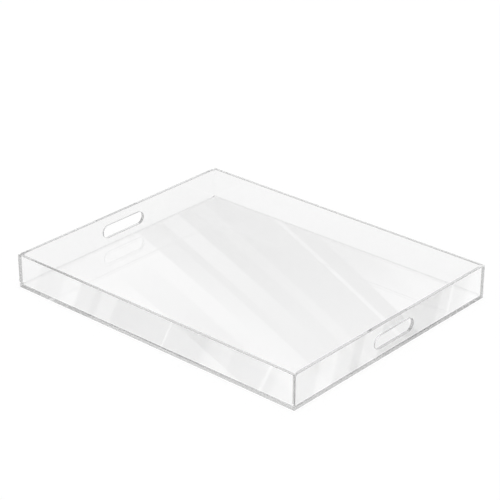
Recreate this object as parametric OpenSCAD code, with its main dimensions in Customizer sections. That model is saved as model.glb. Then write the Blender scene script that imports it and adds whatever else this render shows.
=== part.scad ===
// Clear acrylic tray with a hand slot in each end wall.
// Five flat sheets: a base panel, and four walls that stand on it and meet in
// mitred corners. Every joint is a solvent-cemented butt of two flat faces.
// Frame: origin in the middle of the underside, +X along the length towards
// the right end wall, +Y across the width towards the back wall, +Z up.

/* [Tray] */
// Length over the outer faces of the two end walls
tray_length = 508; // [200:0.1:900]
// Width over the outer faces of the front and back walls
tray_width = 406.4; // [200:0.1:700]
// Height from the underside to the rim
tray_height = 50.8; // [42:0.1:120]

/* [Sheet] */
// Thickness of the base panel
base_thickness = 4.76; // [2:0.01:12]
// Thickness of the four walls
wall_thickness = 4.76; // [2:0.01:12]
// Bevel polished onto every edge that a hand can reach
edge_bevel = 0.4; // [0.1:0.05:0.9]

/* [Hand slots] */
// Length of each slot over its round ends
slot_length = 82.5; // [40:0.5:180]
// Height of each slot, which is also the diameter of its round ends
slot_height = 19.5; // [12:0.1:28]
// Height of the wall left above a slot, which the fingers grip
grip_height = 15; // [8:0.1:24]

/* [Hidden] */

wall_height = tray_height - base_thickness;
slot_radius = slot_height / 2;
slot_reach = slot_length / 2 - slot_radius;  // from a slot's middle to the centre of a round end
slot_centre = wall_height - grip_height - slot_radius;  // above the wall's foot
overshoot = 1;  // how far a cutter runs past the face it opens
sheet_clear = [0.84, 0.89, 0.90];
$fn = 96;

// Flat outline of a rectangle with its four corners bevelled
module bevelled_rectangle(width, depth) {
    polygon([
        for (corner = [[1, 1], [-1, 1], [-1, -1], [1, -1]])
            for (leg = corner.x * corner.y > 0 ? [[0, 1], [1, 0]] : [[1, 0], [0, 1]])
                [corner.x * (width / 2 - edge_bevel * leg.x),
                 corner.y * (depth / 2 - edge_bevel * leg.y)]
    ]);
}

// Section of the base, bevelled along the bottom only, because walls stand on its top
module base_section(span) {
    polygon([
        [-span / 2 + edge_bevel, 0],
        [span / 2 - edge_bevel, 0],
        [span / 2, edge_bevel],
        [span / 2, base_thickness],
        [-span / 2, base_thickness],
        [-span / 2, edge_bevel]
    ]);
}

// Section of a wall, square at its foot and bevelled at its rim
module wall_section() {
    polygon([
        [0, 0],
        [wall_thickness, 0],
        [wall_thickness, wall_height - edge_bevel],
        [wall_thickness - edge_bevel, wall_height],
        [edge_bevel, wall_height],
        [0, wall_height - edge_bevel]
    ]);
}

// Plan of a wall: a trapezoid whose slanted ends are the mitres, and whose
// outer corners carry half of the corner bevel each
module wall_plan(length) {
    polygon([
        [-length / 2 + edge_bevel, 0],
        [length / 2 - edge_bevel, 0],
        [length / 2 - edge_bevel / 2, edge_bevel / 2],
        [length / 2 - wall_thickness, wall_thickness],
        [-length / 2 + wall_thickness, wall_thickness],
        [-length / 2 + edge_bevel / 2, edge_bevel / 2]
    ]);
}

// A wall along X with its outer face on the plane Y = 0 and its foot on Z = 0
module wall(length) {
    intersection() {
        linear_extrude(wall_height) wall_plan(length);
        translate([-length / 2, 0, 0]) rotate([90, 0, 90]) linear_extrude(length) wall_section();
    }
}

// Bevel around one mouth of a slot, cut into the plane Y = 0 from the -Y side
module slot_mouth() {
    depth = edge_bevel + overshoot;
    for (side = [-1, 1])
        translate([side * slot_reach, edge_bevel, 0]) rotate([90, 0, 0])
            cylinder(h = depth, r1 = slot_radius, r2 = slot_radius + depth);
    translate([-slot_reach, 0, 0]) rotate([90, 0, 90]) linear_extrude(2 * slot_reach)
        polygon([
            [edge_bevel, -slot_radius],
            [edge_bevel, slot_radius],
            [-overshoot, slot_radius + depth],
            [-overshoot, -slot_radius - depth]
        ]);
}

// Cutter for one hand slot: a bore at each round end, a straight run between
// them, and a bevel at both mouths
module hand_slot() {
    length = wall_thickness + 2 * overshoot;
    translate([0, 0, slot_centre]) {
        for (side = [-1, 1])
            translate([side * slot_reach, -overshoot, 0]) rotate([-90, 0, 0])
                cylinder(h = length, r = slot_radius);
        translate([-slot_reach, -overshoot, -slot_radius])
            cube([2 * slot_reach, length, slot_height]);
        slot_mouth();
        translate([0, wall_thickness, 0]) mirror([0, 1, 0]) slot_mouth();
    }
}

// Puts a wall on the base at one side of the tray, turned about the tray's middle
module stand_wall(turn, distance) {
    rotate([0, 0, turn]) translate([0, -distance / 2, base_thickness]) children();
}

// An end wall is a wall with the hand slot cut through it
module handle_wall() {
    difference() {
        wall(tray_width);
        hand_slot();
    }
}

module base_panel() {
    color(sheet_clear)
    intersection() {
        linear_extrude(base_thickness) bevelled_rectangle(tray_length, tray_width);
        translate([-tray_length / 2, 0, 0]) rotate([90, 0, 90])
            linear_extrude(tray_length) base_section(tray_width);
        translate([0, tray_width / 2, 0]) rotate([90, 0, 0])
            linear_extrude(tray_width) base_section(tray_length);
    }
}

module front_wall() {
    color(sheet_clear) stand_wall(0, tray_width) wall(tray_length);
}

module back_wall() {
    color(sheet_clear) stand_wall(180, tray_width) wall(tray_length);
}

module left_handle_wall() {
    color(sheet_clear) stand_wall(-90, tray_length) handle_wall();
}

module right_handle_wall() {
    color(sheet_clear) stand_wall(90, tray_length) handle_wall();
}

base_panel();
front_wall();
back_wall();
left_handle_wall();
right_handle_wall();
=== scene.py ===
import math

import bpy
import numpy as np
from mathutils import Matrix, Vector


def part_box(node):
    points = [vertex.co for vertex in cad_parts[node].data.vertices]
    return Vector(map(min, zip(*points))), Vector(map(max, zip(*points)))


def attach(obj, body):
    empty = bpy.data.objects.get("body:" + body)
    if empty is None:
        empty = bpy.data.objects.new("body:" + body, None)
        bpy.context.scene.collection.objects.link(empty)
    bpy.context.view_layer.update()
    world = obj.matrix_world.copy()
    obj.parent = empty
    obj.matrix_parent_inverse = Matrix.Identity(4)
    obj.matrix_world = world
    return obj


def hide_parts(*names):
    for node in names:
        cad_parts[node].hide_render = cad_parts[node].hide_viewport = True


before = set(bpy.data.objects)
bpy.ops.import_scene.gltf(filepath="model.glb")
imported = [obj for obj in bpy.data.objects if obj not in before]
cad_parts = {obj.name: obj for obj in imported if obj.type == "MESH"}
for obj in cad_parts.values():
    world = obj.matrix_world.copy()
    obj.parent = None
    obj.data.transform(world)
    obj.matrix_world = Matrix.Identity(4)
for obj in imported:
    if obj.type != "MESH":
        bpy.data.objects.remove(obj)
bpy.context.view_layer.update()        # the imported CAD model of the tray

mm = 0.001
white = (1, 1, 1, 1)
halfStep = 0.5                 # bounce counts are whole numbers, so each test lies between two
print("frame loaded:", ", ".join(sorted(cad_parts)))


def toLinear(hexColour):
    # sRGB hex to linear RGBA: c / 12.92 in the dark part, ((c + 0.055) / 1.055) ^ 2.4 above it
    parts = [int(hexColour[i:i + 2], 16) / 255 for i in (1, 3, 5)]
    return [c / 12.92 if c <= 0.04045 else ((c + 0.055) / 1.055) ** 2.4 for c in parts] + [1.0]


def addNode(tree, kind, settings=None, links=None, **values):
    # values set the node's own properties, settings its sockets, and links join its sockets
    # to other nodes' outputs; a node given in links stands for its first output. A Mix node's
    # sockets for numbers are 0, the share, 2, the first level, and 3, the second
    node = tree.nodes.new(kind)
    for name, value in values.items():
        setattr(node, name, value)
    for socket, value in (settings or {}).items():
        node.inputs[socket].default_value = value
    for socket, source in (links or {}).items():
        output = source.outputs[0] if isinstance(source, bpy.types.Node) else source
        tree.links.new(output, node.inputs[socket])
    return node


def newMaterial(name):
    material = bpy.data.materials.new(name)
    material.use_nodes = True
    material.node_tree.nodes.clear()
    return material, material.node_tree


cameraSetup = {
    "azimuth": 41.62,        # degrees round from the front wall towards the right end wall
    "elevation": 26.14,      # degrees above the table
    "distance": 2.650,       # metres from the point looked at
    "lookAt": (-0.0890, 0.1003, 0.0),
    "lens": 129.8,           # mm on a 36 mm wide sensor
    "sensor": 36,
    "clip": (0.05, 60),      # metres
}


def placeCamera(setup):
    # back = (sin a cos e, -cos a cos e, sin e): the way from the point looked at to the lens
    a, e = math.radians(setup["azimuth"]), math.radians(setup["elevation"])
    back = Vector((math.sin(a) * math.cos(e), -math.cos(a) * math.cos(e), math.sin(e)))
    data = bpy.data.cameras.new("productCamera")
    data.lens, data.sensor_width = setup["lens"], setup["sensor"]
    data.clip_start, data.clip_end = setup["clip"]
    camera = bpy.data.objects.new("productCamera", data)
    bpy.context.collection.objects.link(camera)
    camera.location = Vector(setup["lookAt"]) + back * setup["distance"]
    camera.rotation_mode = "QUATERNION"
    camera.rotation_quaternion = (-back).to_track_quat("-Z", "Y")
    bpy.context.scene.camera = camera


placeCamera(cameraSetup)
print("camera placed")


acrylic = {
    "ior": 1.49,                # cast acrylic (PMMA)
    "tint": "#fcfcfc",          # a sheet passes about 97% of the light that enters it
    "rimPaintedShade": "#cccccc",      # painted shade: a rim's tint is clearly greyer than a face's, standing in for the shade it shows, and the base's cut edge gets painted shade between the two
    "sideEdgePaintedShade": "#ececec",      # and the base's cut edge lies between the two
    "absorbColour": "#e8e8e8",  # what long paths along a sheet turn towards
    "absorbDensity": 3.0,       # per metre: 5 mm is clear, a sheet's full length loses a quarter
    "faceRoughness": 0.0,
    "edgeRoughness": 0.04,
    "waveSize": 45 * mm,        # slow ripple left in a cast face by its glass mould
    "waveHeight": 0.003 * mm,
    "edgeWaveSize": 4 * mm,     # shorter, deeper ripple where an edge was cut and polished
    "edgeWaveHeight": 0.01 * mm,
    "waveDetail": 2.0,          # finer waves on top of both ripples,
    "waveRoughness": 0.4,       # and their height beside the main wave's
    "bounces": 48,              # light runs along inside a sheet for this many bounces
    "trappedGlow": 0.40,        # level of the light that has found no way out by then
}


def absorbInside(tree):
    # the faint greyness of the plastic, uniform all through it
    return addNode(tree, "ShaderNodeVolumeAbsorption",
                   {"Color": toLinear(acrylic["absorbColour"]),
                    "Density": acrylic["absorbDensity"]})


def acrylicMaterial(name, tint, roughness, rippleSize, rippleHeight):
    # Clear plastic: a dielectric surface, a slow ripple in its normals, and a faint
    # absorption inside, which greys the light that travels along the sheet to its edges
    material, tree = newMaterial(name)
    place = addNode(tree, "ShaderNodeTexCoord").outputs["Object"]
    ripple = addNode(tree, "ShaderNodeTexNoise",
                     {"Scale": 1 / rippleSize, "Detail": acrylic["waveDetail"],
                      "Roughness": acrylic["waveRoughness"]},
                     {"Vector": place})
    bump = addNode(tree, "ShaderNodeBump", {"Strength": 1.0, "Distance": rippleHeight},
                   {"Height": ripple.outputs["Fac"]})
    # what is still inside at the last bounce glows instead of ending black
    path = addNode(tree, "ShaderNodeLightPath")
    trapped = addNode(tree, "ShaderNodeMath", {1: acrylic["bounces"] - halfStep},
                      {0: path.outputs["Ray Depth"]}, operation="GREATER_THAN")
    trappedGlow = addNode(tree, "ShaderNodeMath", {1: acrylic["trappedGlow"]}, {0: trapped},
                          operation="MULTIPLY")
    # the tint greys the light through this surface: on a face it is the sheet's own clearness, on
    # the rims and the base's cut edge it is painted shade
    surface = addNode(tree, "ShaderNodeBsdfPrincipled",
                      {"Base Color": toLinear(tint), "Roughness": roughness,
                       "IOR": acrylic["ior"], "Transmission Weight": 1.0,
                       "Emission Color": white},
                      {"Normal": bump, "Emission Strength": trappedGlow})
    material.cycles.emission_sampling = "NONE"
    addNode(tree, "ShaderNodeOutputMaterial",
            links={"Surface": surface, "Volume": absorbInside(tree)})
    return material


def cementMaterial(name):
    # Solvent-cemented joint: the two faces have melted into each other, so light goes
    # straight on through it
    material, tree = newMaterial(name)
    through = addNode(tree, "ShaderNodeBsdfTransparent", {"Color": white})
    addNode(tree, "ShaderNodeOutputMaterial",
            links={"Surface": through, "Volume": absorbInside(tree)})
    return material


def makeSheetMaterials():
    faceLook = (acrylic["faceRoughness"], acrylic["waveSize"], acrylic["waveHeight"])
    edgeLook = (acrylic["edgeRoughness"], acrylic["edgeWaveSize"], acrylic["edgeWaveHeight"])
    return [
        # cast against glass: clear, with sharp images in it
        acrylicMaterial("cast acrylic face", acrylic["tint"], *faceLook),
        # melted smooth by a flame: glossy but rippled, and tinted grey with painted shade, so a
        # rim reads as a soft grey line
        acrylicMaterial("flame-polished acrylic edge with painted shade", acrylic["rimPaintedShade"], *edgeLook),
        # all but unseen, since the sheets are one piece there
        cementMaterial("solvent-cement seam"),
        # cut by a diamond: as glossy as a rim, and clearer, with a lighter grey tint of painted
        # shade
        acrylicMaterial("diamond-cut acrylic edge with painted shade", acrylic["sideEdgePaintedShade"], *edgeLook),
    ]


sheetMaterials = makeSheetMaterials()
faceSlot, edgeSlot, seamSlot, sideSlot = range(len(sheetMaterials))
print("acrylic materials made")


sheet = {
    "edgeRadius": 0.4 * mm,    # rounding that polishing leaves on an edge
    "underRadius": 0.3 * mm,   # and along the base's bottom edge
    "cornerSteps": 6,          # steps round each rounded edge, 15 degrees each
    "leastCorner": 0.02 * mm,  # corner radius of the outlines that lie inside the rounding
    "hold": 0.12 * mm,         # width of the flat strip that keeps a face's shading flat
    "seamGap": 0.01 * mm,      # the cement film between two cemented faces
    "sharpAngle": 40,          # degrees; shading is split where faces meet at more than this
}

baseLow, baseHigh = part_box("base_panel")
frontLow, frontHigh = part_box("front_wall")
trayLength = baseHigh[0] - baseLow[0]
trayWidth = baseHigh[1] - baseLow[1]
baseThickness = baseHigh[2] - baseLow[2]
wallThickness = frontHigh[1] - frontLow[1]
wallHeight = frontHigh[2] - frontLow[2]


def roundInset(depth, radius):
    # how far a rounded edge stands back at this depth: r - sqrt(r^2 - (r - d)^2), and 0 past r
    short = np.clip(radius - depth, 0, radius)
    return radius - np.sqrt(radius ** 2 - short ** 2)


def depthStations(thickness, radius, steps):
    # depths through a sheet: d = r (1 - cos a) round both edges, straight between them
    turn = np.linspace(0, math.pi / 2, steps + 1)
    start = radius * (1 - np.cos(turn))
    return np.concatenate([start, thickness - start[::-1]])


def gridFaces(rows, columns, closeRows=False):
    # quads of a grid whose columns run round in a ring; closeRows joins the last row to the first
    i = np.arange(rows if closeRows else rows - 1)[:, None]
    j = np.arange(columns)[None, :]
    nextRow, nextColumn = (i + 1) % rows, (j + 1) % columns
    quads = [i * columns + j, i * columns + nextColumn,
             nextRow * columns + nextColumn, nextRow * columns + j]
    return np.stack(np.broadcast_arrays(*quads), axis=-1).reshape(-1, 4)


def makePiece(name, points, faces, slots, node):
    mesh = bpy.data.meshes.new(name)
    mesh.from_pydata(points.tolist(), [], faces)
    mesh.polygons.foreach_set("material_index", np.asarray(slots, dtype=np.int32))
    mesh.polygons.foreach_set("use_smooth", np.ones(len(faces), dtype=bool))
    mesh.set_sharp_from_angle(angle=math.radians(sheet["sharpAngle"]))
    mesh.update()
    for material in sheetMaterials:
        mesh.materials.append(material)
    piece = bpy.data.objects.new(name, mesh)
    bpy.context.collection.objects.link(piece)
    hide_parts(node)
    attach(piece, "root")


def standWall(points, turn, distance):
    # turns a wall made in front of the origin about Z and sets it at its side of the tray
    c, s = round(math.cos(turn)), round(math.sin(turn))
    x, y, z = points[..., 0], points[..., 1] - distance / 2, points[..., 2]
    return np.stack([c * x - s * y, s * x + c * y, z + baseThickness], axis=-1)


def wallHalfLength(length, depth):
    # the mitre takes as much off each end as the depth; the outer corner is rounded
    back = np.maximum(depth + sheet["seamGap"] / 2, roundInset(depth, sheet["edgeRadius"]))
    return length / 2 - back


def plainWall(name, node, length, turn, distance):
    # Stack of rectangles through the thickness: at depth d the outline is
    # x = +-halfLength(d), z = seamGap .. height - roundInset(d), and both faces are
    # closed by the same rectangle shrunk by the hold strip
    radius, hold = sheet["edgeRadius"], sheet["hold"]
    depths = depthStations(wallThickness, radius, sheet["cornerSteps"])
    half = wallHalfLength(length, depths)
    top = wallHeight - roundInset(np.minimum(depths, wallThickness - depths), radius)
    foot = np.full_like(top, sheet["seamGap"])
    depths = np.pad(depths, 1, mode="edge")
    half, top, foot = (np.pad(line, 1, mode="edge") for line in (half, top, foot))
    shrink = np.zeros_like(depths)
    shrink[[0, -1]] = hold
    half, top, foot = half - shrink, top - shrink, foot + shrink
    alongX = np.array([-1, 1, 1, -1])               # left foot, right foot, right rim, left rim
    atRim = np.array([False, False, True, True])
    x = half[:, None] * alongX
    z = np.where(atRim, top[:, None], foot[:, None])
    y = np.broadcast_to(depths[:, None], x.shape)
    points = np.stack([x, y, z], axis=-1)
    rows, columns = x.shape
    quads = gridFaces(rows, columns)
    side = np.tile(np.arange(columns), rows - 1)     # foot, right mitre, rim, left mitre
    row = np.repeat(np.arange(rows - 1), columns)
    onFace = (row == 0) | (row == rows - 2)
    outerCorner = row <= sheet["cornerSteps"] // 2   # the outer half of the rounded corner
    slots = np.where(side == 2, edgeSlot, seamSlot)
    slots = np.where((side % 2 == 1) & outerCorner, edgeSlot, slots)
    slots = np.where(onFace, faceSlot, slots)
    ring = list(range(columns))
    lastRing = [(rows - 1) * columns + corner for corner in ring]
    faces = [quad[::-1] for quad in quads.tolist()] + [ring, lastRing[::-1]]
    slots = np.concatenate([slots, [faceSlot, faceSlot]])
    placed = standWall(points.reshape(-1, 3), turn, distance)
    makePiece(name, placed, faces, slots, node)


handSlot = {
    "length": 82.5 * mm,
    "height": 19.5 * mm,
    "belowRim": 15 * mm,       # wall left above the slot
    "roundSteps": 36,          # steps round each half-round end
    "rimShare": 0.375,         # share of each half ring's columns that ends on the rim,
    "footShare": 0.375,        # and on the foot; the rest ends on the mitre
}


def handleWall(name, node, length, turn, distance):
    # Ring-shaped sheet round the slot. Each column joins a point of the slot's outline to
    # one of the wall's outline; each row is a place on the closed section that runs
    # slot -> outer face -> wall's edge -> inner face -> slot. A point is
    # slot(u, d) + w (wall(u, d) - slot(u, d)) + h (unit vector from slot to wall)
    radius, hold, n = sheet["edgeRadius"], sheet["hold"], handSlot["roundSteps"]
    slotRadius = handSlot["height"] / 2
    reach = handSlot["length"] / 2 - slotRadius
    middle = wallHeight - handSlot["belowRim"] - slotRadius
    stations = depthStations(wallThickness, radius, sheet["cornerSteps"])

    # the closed section as rows of depth, w and h
    outer = [(0, 0, 0), (0, 0, hold), (0, 1, -hold)]
    inner = [(wallThickness, 1, -hold), (wallThickness, 0, hold)]
    section = outer + [(d, 1, 0) for d in stations] + inner
    section += [(d, 0, 0) for d in stations[:0:-1]]
    depth, w, h = np.array(section).T
    nearest = np.minimum(depth, wallThickness - depth)

    # the slot's outline, from the top of its right end round to the top of its left end
    turnRight = np.linspace(math.pi / 2, -math.pi / 2, n + 1)
    angle = np.concatenate([turnRight, turnRight - math.pi])
    centre = np.where(np.arange(len(angle)) <= n, reach, -reach)
    grow = slotRadius + roundInset(nearest, radius)[:, None]
    slotX = centre + grow * np.cos(angle)
    slotZ = middle + grow * np.sin(angle)

    # the wall's outline at the same columns: along the rim, down the mitre, back along the foot
    share = np.arange(n + 1) / n
    rimEnd, footStart = handSlot["rimShare"], 1 - handSlot["footShare"]
    along = np.interp(share, [0, rimEnd, footStart, 1], [0, 1, 1, 0])
    rise = np.interp(share, [rimEnd, footStart], [1, 0])
    half = wallHalfLength(length, depth)[:, None]
    top = (wallHeight - roundInset(nearest, radius))[:, None]
    foot = sheet["seamGap"]
    rightX = reach + along * (half - reach)
    rightZ = foot + rise * (top - foot)
    wallX = np.concatenate([rightX, -rightX[:, ::-1]], axis=1)
    wallZ = np.concatenate([rightZ, rightZ[:, ::-1]], axis=1)

    slotPoint = np.stack([slotX, slotZ], axis=-1)
    wallPoint = np.stack([wallX, wallZ], axis=-1)
    span = wallPoint - slotPoint
    unit = span / np.linalg.norm(span, axis=-1, keepdims=True)
    flat = slotPoint + w[:, None, None] * span + h[:, None, None] * unit
    y = np.broadcast_to(depth[:, None], flat.shape[:2])
    points = np.stack([flat[..., 0], y, flat[..., 1]], axis=-1)
    rows, columns = y.shape
    quads = gridFaces(rows, columns, closeRows=True)

    row = np.repeat(np.arange(rows), columns)
    column = np.tile(np.arange(columns), rows)
    edgeStart = len(outer)
    edgeEnd = edgeStart + len(stations) - 1
    onWallEdge = (row >= edgeStart) & (row < edgeEnd)
    onSlotEdge = row > edgeEnd + len(inner)
    outerCorner = row < edgeStart + sheet["cornerSteps"] // 2
    step = np.where(column <= n, column, 2 * n - column)     # steps from the rim, either half
    onRim = (column == 2 * n + 1) | (step < rimEnd * n)
    onFoot = (column == n) | (step >= footStart * n)
    polished = onRim | (~onFoot & outerCorner)
    slots = np.where(onSlotEdge | (onWallEdge & polished), edgeSlot, faceSlot)
    slots = np.where(onWallEdge & ~polished, seamSlot, slots)
    placed = standWall(points.reshape(-1, 3), turn, distance)
    makePiece(name, placed, quads.tolist(), slots, node)


def basePanel():
    # Stack of rounded rectangles: corner centres + (R - inset(z)) (cos a, sin a). The
    # bottom edge is rounded, the top edge is square where the walls stand flush on it
    radius, hold, underRadius = sheet["edgeRadius"], sheet["hold"], sheet["underRadius"]
    turn = np.linspace(0, math.pi / 2, sheet["cornerSteps"] + 1)
    bottom = underRadius * (1 - np.cos(turn))
    quarter = np.concatenate([turn + k * math.pi / 2 for k in range(4)])
    signX = np.repeat([1, -1, -1, 1], len(turn))
    signY = np.repeat([1, 1, -1, -1], len(turn))
    height = np.concatenate([[0], bottom, [baseThickness, baseThickness]])
    inset = np.concatenate([[underRadius + hold], roundInset(bottom, underRadius),
                            [0, wallThickness - hold / 2]])
    corner = np.maximum(radius - inset, sheet["leastCorner"])[:, None]
    halfX = (trayLength / 2 - inset)[:, None] - corner
    halfY = (trayWidth / 2 - inset)[:, None] - corner
    x = signX * halfX + corner * np.cos(quarter)
    y = signY * halfY + corner * np.sin(quarter)
    z = np.broadcast_to(height[:, None], x.shape)
    points = np.stack([x, y, z], axis=-1)
    rows, columns = x.shape
    row = np.repeat(np.arange(rows - 1), columns)
    slots = np.where(row == 0, faceSlot, sideSlot)
    slots = np.where(row == rows - 2, seamSlot, slots)        # the strip that the walls stand on
    ring = list(range(columns))
    lastRing = [(rows - 1) * columns + corner for corner in ring]
    faces = gridFaces(rows, columns).tolist() + [ring[::-1], lastRing]
    slots = np.concatenate([slots, [faceSlot, faceSlot]])
    makePiece("baseSheet", points.reshape(-1, 3), faces, slots, "base_panel")


basePanel()
plainWall("frontSheet", "front_wall", trayLength, 0, trayWidth)
plainWall("backSheet", "back_wall", trayLength, math.pi, trayWidth)
handleWall("leftHandleSheet", "left_handle_wall", trayWidth, -math.pi / 2, trayLength)
handleWall("rightHandleSheet", "right_handle_wall", trayWidth, math.pi / 2, trayLength)
print("sheets made")


studio = {
    "floorSize": 30.0,         # metres
    "floorDrop": 0.05 * mm,    # air between the tray's underside and the table
    "paper": "#808080",        # takes the light as a mid grey, so the tray's shadow is faint
    "paperLift": 0.81,         # glow added where the eye or the acrylic sees the paper
    "room": 1.0,               # glow of the white room where it is seen,
    "ambient": 0.9,            # and as a light on the paper
    "glossyFrom": 1,           # the acrylic shows the strips in images that have come off
    "glossyTo": 2,             # this many of its faces; longer ways round see plain white
}


def mirrorImage(tree):
    # 1 for a ray that has come off one or two faces, has met no paper and no cemented seam
    # on its way, and has left by a face: only a face is smooth enough for a singular ray
    path = addNode(tree, "ShaderNodeLightPath")
    middle = (studio["glossyFrom"] + studio["glossyTo"]) / 2
    spread = (studio["glossyTo"] - studio["glossyFrom"]) / 2 + halfStep
    mirrored = addNode(tree, "ShaderNodeMath", {1: middle, 2: spread},
                       {0: path.outputs["Glossy Depth"]}, operation="COMPARE")
    unlit = addNode(tree, "ShaderNodeMath", {1: halfStep},
                    {0: path.outputs["Diffuse Depth"]}, operation="LESS_THAN")
    seamless = addNode(tree, "ShaderNodeMath", {1: halfStep},
                       {0: path.outputs["Transparent Depth"]}, operation="LESS_THAN")
    direct = addNode(tree, "ShaderNodeMath", links={0: unlit, 1: seamless}, operation="MULTIPLY")
    sharp = addNode(tree, "ShaderNodeMath", operation="MULTIPLY",
                    links={0: mirrored, 1: path.outputs["Is Singular Ray"]})
    return addNode(tree, "ShaderNodeMath", links={0: sharp, 1: direct}, operation="MULTIPLY")


def glowRamp(tree, place, stops, start, length):
    # levels along one line, as long as the strips: each stop is its place and its glow, or
    # two glows, which come out as the ramp's red and green
    share = addNode(tree, "ShaderNodeMapRange",
                    {"From Min": start, "From Max": start + length}, {"Value": place})
    ramp = addNode(tree, "ShaderNodeValToRGB", links={0: share})
    points = ramp.color_ramp.elements
    points.remove(points[-1])
    for number, (spot, *glows) in enumerate(stops):
        spotShare = (spot - start) / length
        point = points.new(spotShare) if number else points[0]
        point.position = spotShare
        point.color = (glows[0], glows[-1], glows[-1], 1)
    return ramp


# What the front wall and the right end wall mirror from the table before them: strips that
# run slantwise away from the wall. Each stop is (metres along the wall from its middle, glow)
tableStrips = {
    "plain": 0.5,              # glow of the rest of the table
    "strength": 2.0,           # the strips show only in a wall's outer face, so twice as bright
    "within": 0.2,             # glow in their place for light that has been inside the acrylic
    "length": 0.60,            # metres of strips along each wall
    "frontSlant": 0.639,       # how far the strips lean along the wall per metre out from it
    "frontFan": 0.68,          # and how much farther apart they lie per metre out
    "endSlant": -1.661,        # the same before the end wall
    "endFan": 0.81,
    "frontStops": [(-0.3000, 1.02), (-0.2285, 1.00), (-0.2235, 0.70), (-0.1810, 0.67),
                   (-0.1765, 0.92), (-0.1495, 0.98), (-0.1455, 0.38), (-0.1210, 0.34),
                   (-0.1180, 0.04), (-0.1085, 0.04), (-0.1045, 0.50), (-0.0790, 0.42),
                   (-0.0765, 0.00), (0.0190, 0.00), (0.0195, 0.90), (0.0220, 0.90),
                   (0.0225, 0.00), (0.0830, 0.00), (0.0950, 0.48), (0.1300, 0.86),
                   (0.1335, 0.54), (0.1650, 0.68), (0.1895, 0.76), (0.1912, 1.60),
                   (0.1940, 1.60), (0.1955, 0.72), (0.2065, 0.80), (0.2110, 1.20),
                   (0.3000, 1.30)],
    "endStops": [(-0.3000, 0.58), (-0.1720, 0.60), (-0.1675, 0.95), (-0.1550, 1.05),
                 (-0.1340, 1.17), (-0.1300, 0.86), (-0.1010, 0.76), (-0.0955, 0.42),
                 (-0.0810, 0.38), (-0.0765, 0.82), (-0.0420, 0.84), (-0.0380, 0.30),
                 (0.0000, 0.26), (0.0230, 0.04), (0.0830, 0.04), (0.0900, 0.40),
                 (0.1060, 0.45), (0.1120, 0.60), (0.1125, 0.90), (0.1170, 0.90),
                 (0.1175, 0.58), (0.1500, 0.84), (0.1600, 1.06), (0.3000, 1.08)],
}


def stripsBeside(tree, along, clear, slant, fan, stops):
    # place on the strips = (along + slant * clear) / (1 + fan * clear)
    leaning = addNode(tree, "ShaderNodeMath", {1: slant}, {0: clear, 2: along},
                      operation="MULTIPLY_ADD")
    spread = addNode(tree, "ShaderNodeMath", {1: fan, 2: 1.0}, {0: clear},
                     operation="MULTIPLY_ADD")
    place = addNode(tree, "ShaderNodeMath", links={0: leaning, 1: spread}, operation="DIVIDE")
    return glowRamp(tree, place, stops, -tableStrips["length"] / 2, tableStrips["length"])


def tableStripGlow(tree):
    place = addNode(tree, "ShaderNodeTexCoord").outputs["Object"]
    axis = addNode(tree, "ShaderNodeSeparateXYZ", links={0: place})
    x, y = axis.outputs["X"], axis.outputs["Y"]
    # distances out from the two walls, -y - width / 2 and x - length / 2, negative behind them
    clearFront = addNode(tree, "ShaderNodeMath", {1: -1.0, 2: -trayWidth / 2}, {0: y},
                         operation="MULTIPLY_ADD")
    clearEnd = addNode(tree, "ShaderNodeMath", {1: trayLength / 2}, {0: x},
                       operation="SUBTRACT")
    frontRamp = stripsBeside(tree, x, clearFront, tableStrips["frontSlant"],
                             tableStrips["frontFan"], tableStrips["frontStops"])
    endRamp = stripsBeside(tree, y, clearEnd, tableStrips["endSlant"],
                           tableStrips["endFan"], tableStrips["endStops"])
    nearEnd = addNode(tree, "ShaderNodeMath", links={0: clearEnd, 1: clearFront},
                      operation="GREATER_THAN")
    strips = addNode(tree, "ShaderNodeMix", links={0: nearEnd, 2: frontRamp, 3: endRamp},
                     data_type="FLOAT")
    # light that has been inside the acrylic misses them, so each line is single and sharp
    path = addNode(tree, "ShaderNodeLightPath")
    outerFace = addNode(tree, "ShaderNodeMath", {1: halfStep},
                        {0: path.outputs["Transmission Depth"]}, operation="LESS_THAN")
    bright = addNode(tree, "ShaderNodeMath", {1: tableStrips["strength"]}, {0: strips},
                     operation="MULTIPLY")
    strips = addNode(tree, "ShaderNodeMix", {2: tableStrips["within"]},
                     {0: outerFace, 3: bright}, data_type="FLOAT")
    # behind both walls the table is plain
    farther = addNode(tree, "ShaderNodeMath", links={0: clearEnd, 1: clearFront},
                      operation="MAXIMUM")
    outside = addNode(tree, "ShaderNodeMath", {1: 0.0}, {0: farther}, operation="GREATER_THAN")
    return addNode(tree, "ShaderNodeMix", {2: tableStrips["plain"]},
                   {0: outside, 3: strips}, data_type="FLOAT")


def paperMaterial():
    # Matt paper. Its grey takes the light and the tray's shadow, and an added glow, only
    # where the eye or the acrylic sees it, brings it up to white
    material, tree = newMaterial("white sweep paper")
    path = addNode(tree, "ShaderNodeLightPath")
    seen = addNode(tree, "ShaderNodeMath", use_clamp=True, operation="ADD", links={
        0: path.outputs["Is Camera Ray"], 1: path.outputs["Is Transmission Ray"]})
    seen = addNode(tree, "ShaderNodeMath", use_clamp=True, operation="ADD", links={
        0: seen, 1: path.outputs["Is Glossy Ray"]})
    lift = addNode(tree, "ShaderNodeMath", {1: studio["paperLift"]}, {0: seen},
                   operation="MULTIPLY")
    paper = addNode(tree, "ShaderNodeBsdfDiffuse", {"Color": toLinear(studio["paper"])})
    glow = addNode(tree, "ShaderNodeEmission", links={"Strength": lift})
    plain = addNode(tree, "ShaderNodeAddShader", links={0: paper, 1: glow})
    strips = addNode(tree, "ShaderNodeEmission", links={"Strength": tableStripGlow(tree)})
    both = addNode(tree, "ShaderNodeMixShader", links={0: mirrorImage(tree), 1: plain, 2: strips})
    addNode(tree, "ShaderNodeOutputMaterial", links={"Surface": both})
    return material


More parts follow.
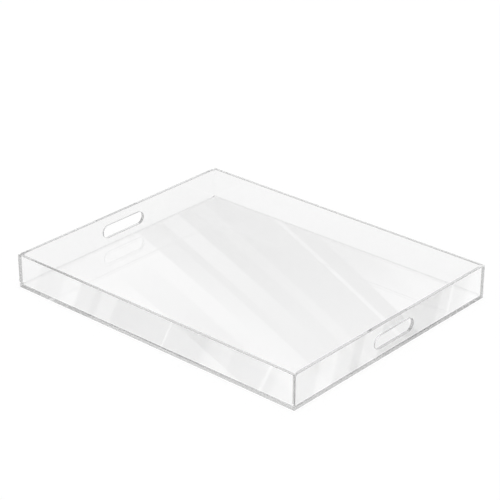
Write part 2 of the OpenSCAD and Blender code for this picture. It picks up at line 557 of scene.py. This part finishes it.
def makeFloor():
    size, z = studio["floorSize"] / 2, -studio["floorDrop"]
    mesh = bpy.data.meshes.new("studioFloor")
    mesh.from_pydata([(-size, -size, z), (size, -size, z), (size, size, z), (-size, size, z)],
                     [], [(0, 1, 2, 3)])
    mesh.materials.append(paperMaterial())
    floor = bpy.data.objects.new("studioFloor", mesh)
    bpy.context.collection.objects.link(floor)


# What the polished faces mirror from above: slanted strips of scrim with gaps between
# them. Each stop is (degrees across the strips, glow low down, glow higher up)
scrimStrips = {
    "repeat": 360 / 28,        # degrees of heading; the strips go on all the way round
    "start": 169.93,           # heading, in degrees, where the first stop meets the horizon
    "lean": 1.251,             # degrees of heading per degree of height
    "stops": [(0.00, 0.88, 0.60), (1.44, 0.86, 0.54), (1.58, 0.90, 0.78), (2.39, 0.88, 0.80),
              (2.44, 0.53, 0.80), (3.22, 0.50, 0.74), (3.29, 0.39, 0.50), (3.62, 0.39, 0.50),
              (3.69, 0.65, 0.50), (4.49, 0.63, 0.50), (4.56, 0.31, 0.48), (5.22, 0.32, 0.48),
              (5.33, 0.42, 0.62), (5.80, 0.43, 0.64), (5.91, 0.31, 0.50), (7.66, 0.36, 0.50),
              (7.68, 0.68, 0.85), (7.83, 0.68, 0.85), (7.85, 0.34, 0.48), (8.58, 0.34, 0.48),
              (8.62, 0.52, 1.10), (9.60, 0.56, 1.15), (10.2, 0.80, 1.05)],
    "rise": (26.4, 28.9),      # degrees up between which the low glows turn to the higher ones
    "low": (8.0, 14.0),        # degrees up between which the white room turns to the strips
    "high": (35.0, 55.0),      # degrees up between which the strips fade to the light above
    "above": 0.85,             # glow of the light above
}


def fadeByHeight(tree, height, limits, settings=None, links=None):
    # goes from level 2 to level 3 between two heights; settings and links give the levels
    share = addNode(tree, "ShaderNodeMapRange", {"From Min": limits[0], "From Max": limits[1]},
                    {"Value": height})
    return addNode(tree, "ShaderNodeMix", settings, {0: share, **links}, data_type="FLOAT")


def scrimGlow(tree):
    # place across the strips = start - heading - lean * height, taken over and over
    way = addNode(tree, "ShaderNodeTexCoord").outputs["Generated"]
    axis = addNode(tree, "ShaderNodeSeparateXYZ", links={0: way})
    turn = addNode(tree, "ShaderNodeMath", operation="ARCTAN2",
                   links={0: axis.outputs["Y"], 1: axis.outputs["X"]})
    rise = addNode(tree, "ShaderNodeMath", operation="ARCSINE", links={0: axis.outputs["Z"]})
    height = addNode(tree, "ShaderNodeMath", {1: math.degrees(1)}, {0: rise},
                     operation="MULTIPLY")
    heading = addNode(tree, "ShaderNodeMath", {1: math.degrees(1)}, {0: turn},
                      operation="MULTIPLY")
    across = addNode(tree, "ShaderNodeMath", {1: scrimStrips["lean"]}, {0: height, 2: heading},
                     operation="MULTIPLY_ADD")
    place = addNode(tree, "ShaderNodeMath", {0: scrimStrips["start"]}, {1: across},
                    operation="SUBTRACT")
    turned = addNode(tree, "ShaderNodeMath", {1: scrimStrips["repeat"]}, {0: place},
                     operation="FLOORED_MODULO")
    ramp = glowRamp(tree, turned, scrimStrips["stops"], 0.0, scrimStrips["repeat"])
    glows = addNode(tree, "ShaderNodeSeparateColor", links={0: ramp})
    strips = fadeByHeight(tree, height, scrimStrips["rise"],
                          links={2: glows.outputs["Red"], 3: glows.outputs["Green"]})
    topped = fadeByHeight(tree, height, scrimStrips["high"], {3: scrimStrips["above"]},
                          {2: strips})
    return fadeByHeight(tree, height, scrimStrips["low"], {2: studio["room"]}, {3: topped})


def makeWorld():
    world = bpy.data.worlds.new("softStudio")
    bpy.context.scene.world = world
    world.use_nodes = True
    tree = world.node_tree
    tree.nodes.clear()
    path = addNode(tree, "ShaderNodeLightPath")
    lighting = addNode(tree, "ShaderNodeMath", {1: halfStep},
                       {0: path.outputs["Diffuse Depth"]}, operation="GREATER_THAN")
    plain = addNode(tree, "ShaderNodeMix", {2: studio["room"], 3: studio["ambient"]},
                    {0: lighting}, data_type="FLOAT")
    level = addNode(tree, "ShaderNodeMix", links={
        0: mirrorImage(tree), 2: plain, 3: scrimGlow(tree)}, data_type="FLOAT")
    light = addNode(tree, "ShaderNodeBackground", {"Color": white}, {"Strength": level})
    addNode(tree, "ShaderNodeOutputWorld", links={"Surface": light})


makeFloor()
makeWorld()
scene = bpy.context.scene
scene.view_settings.view_transform = "Standard"
scene.cycles.max_bounces = acrylic["bounces"]
scene.cycles.glossy_bounces = acrylic["bounces"]
scene.cycles.transmission_bounces = acrylic["bounces"]
scene.cycles.transparent_max_bounces = acrylic["bounces"]
scene.cycles.blur_glossy = 0             # keeps polished faces sharp to bounced light too
print("studio made")
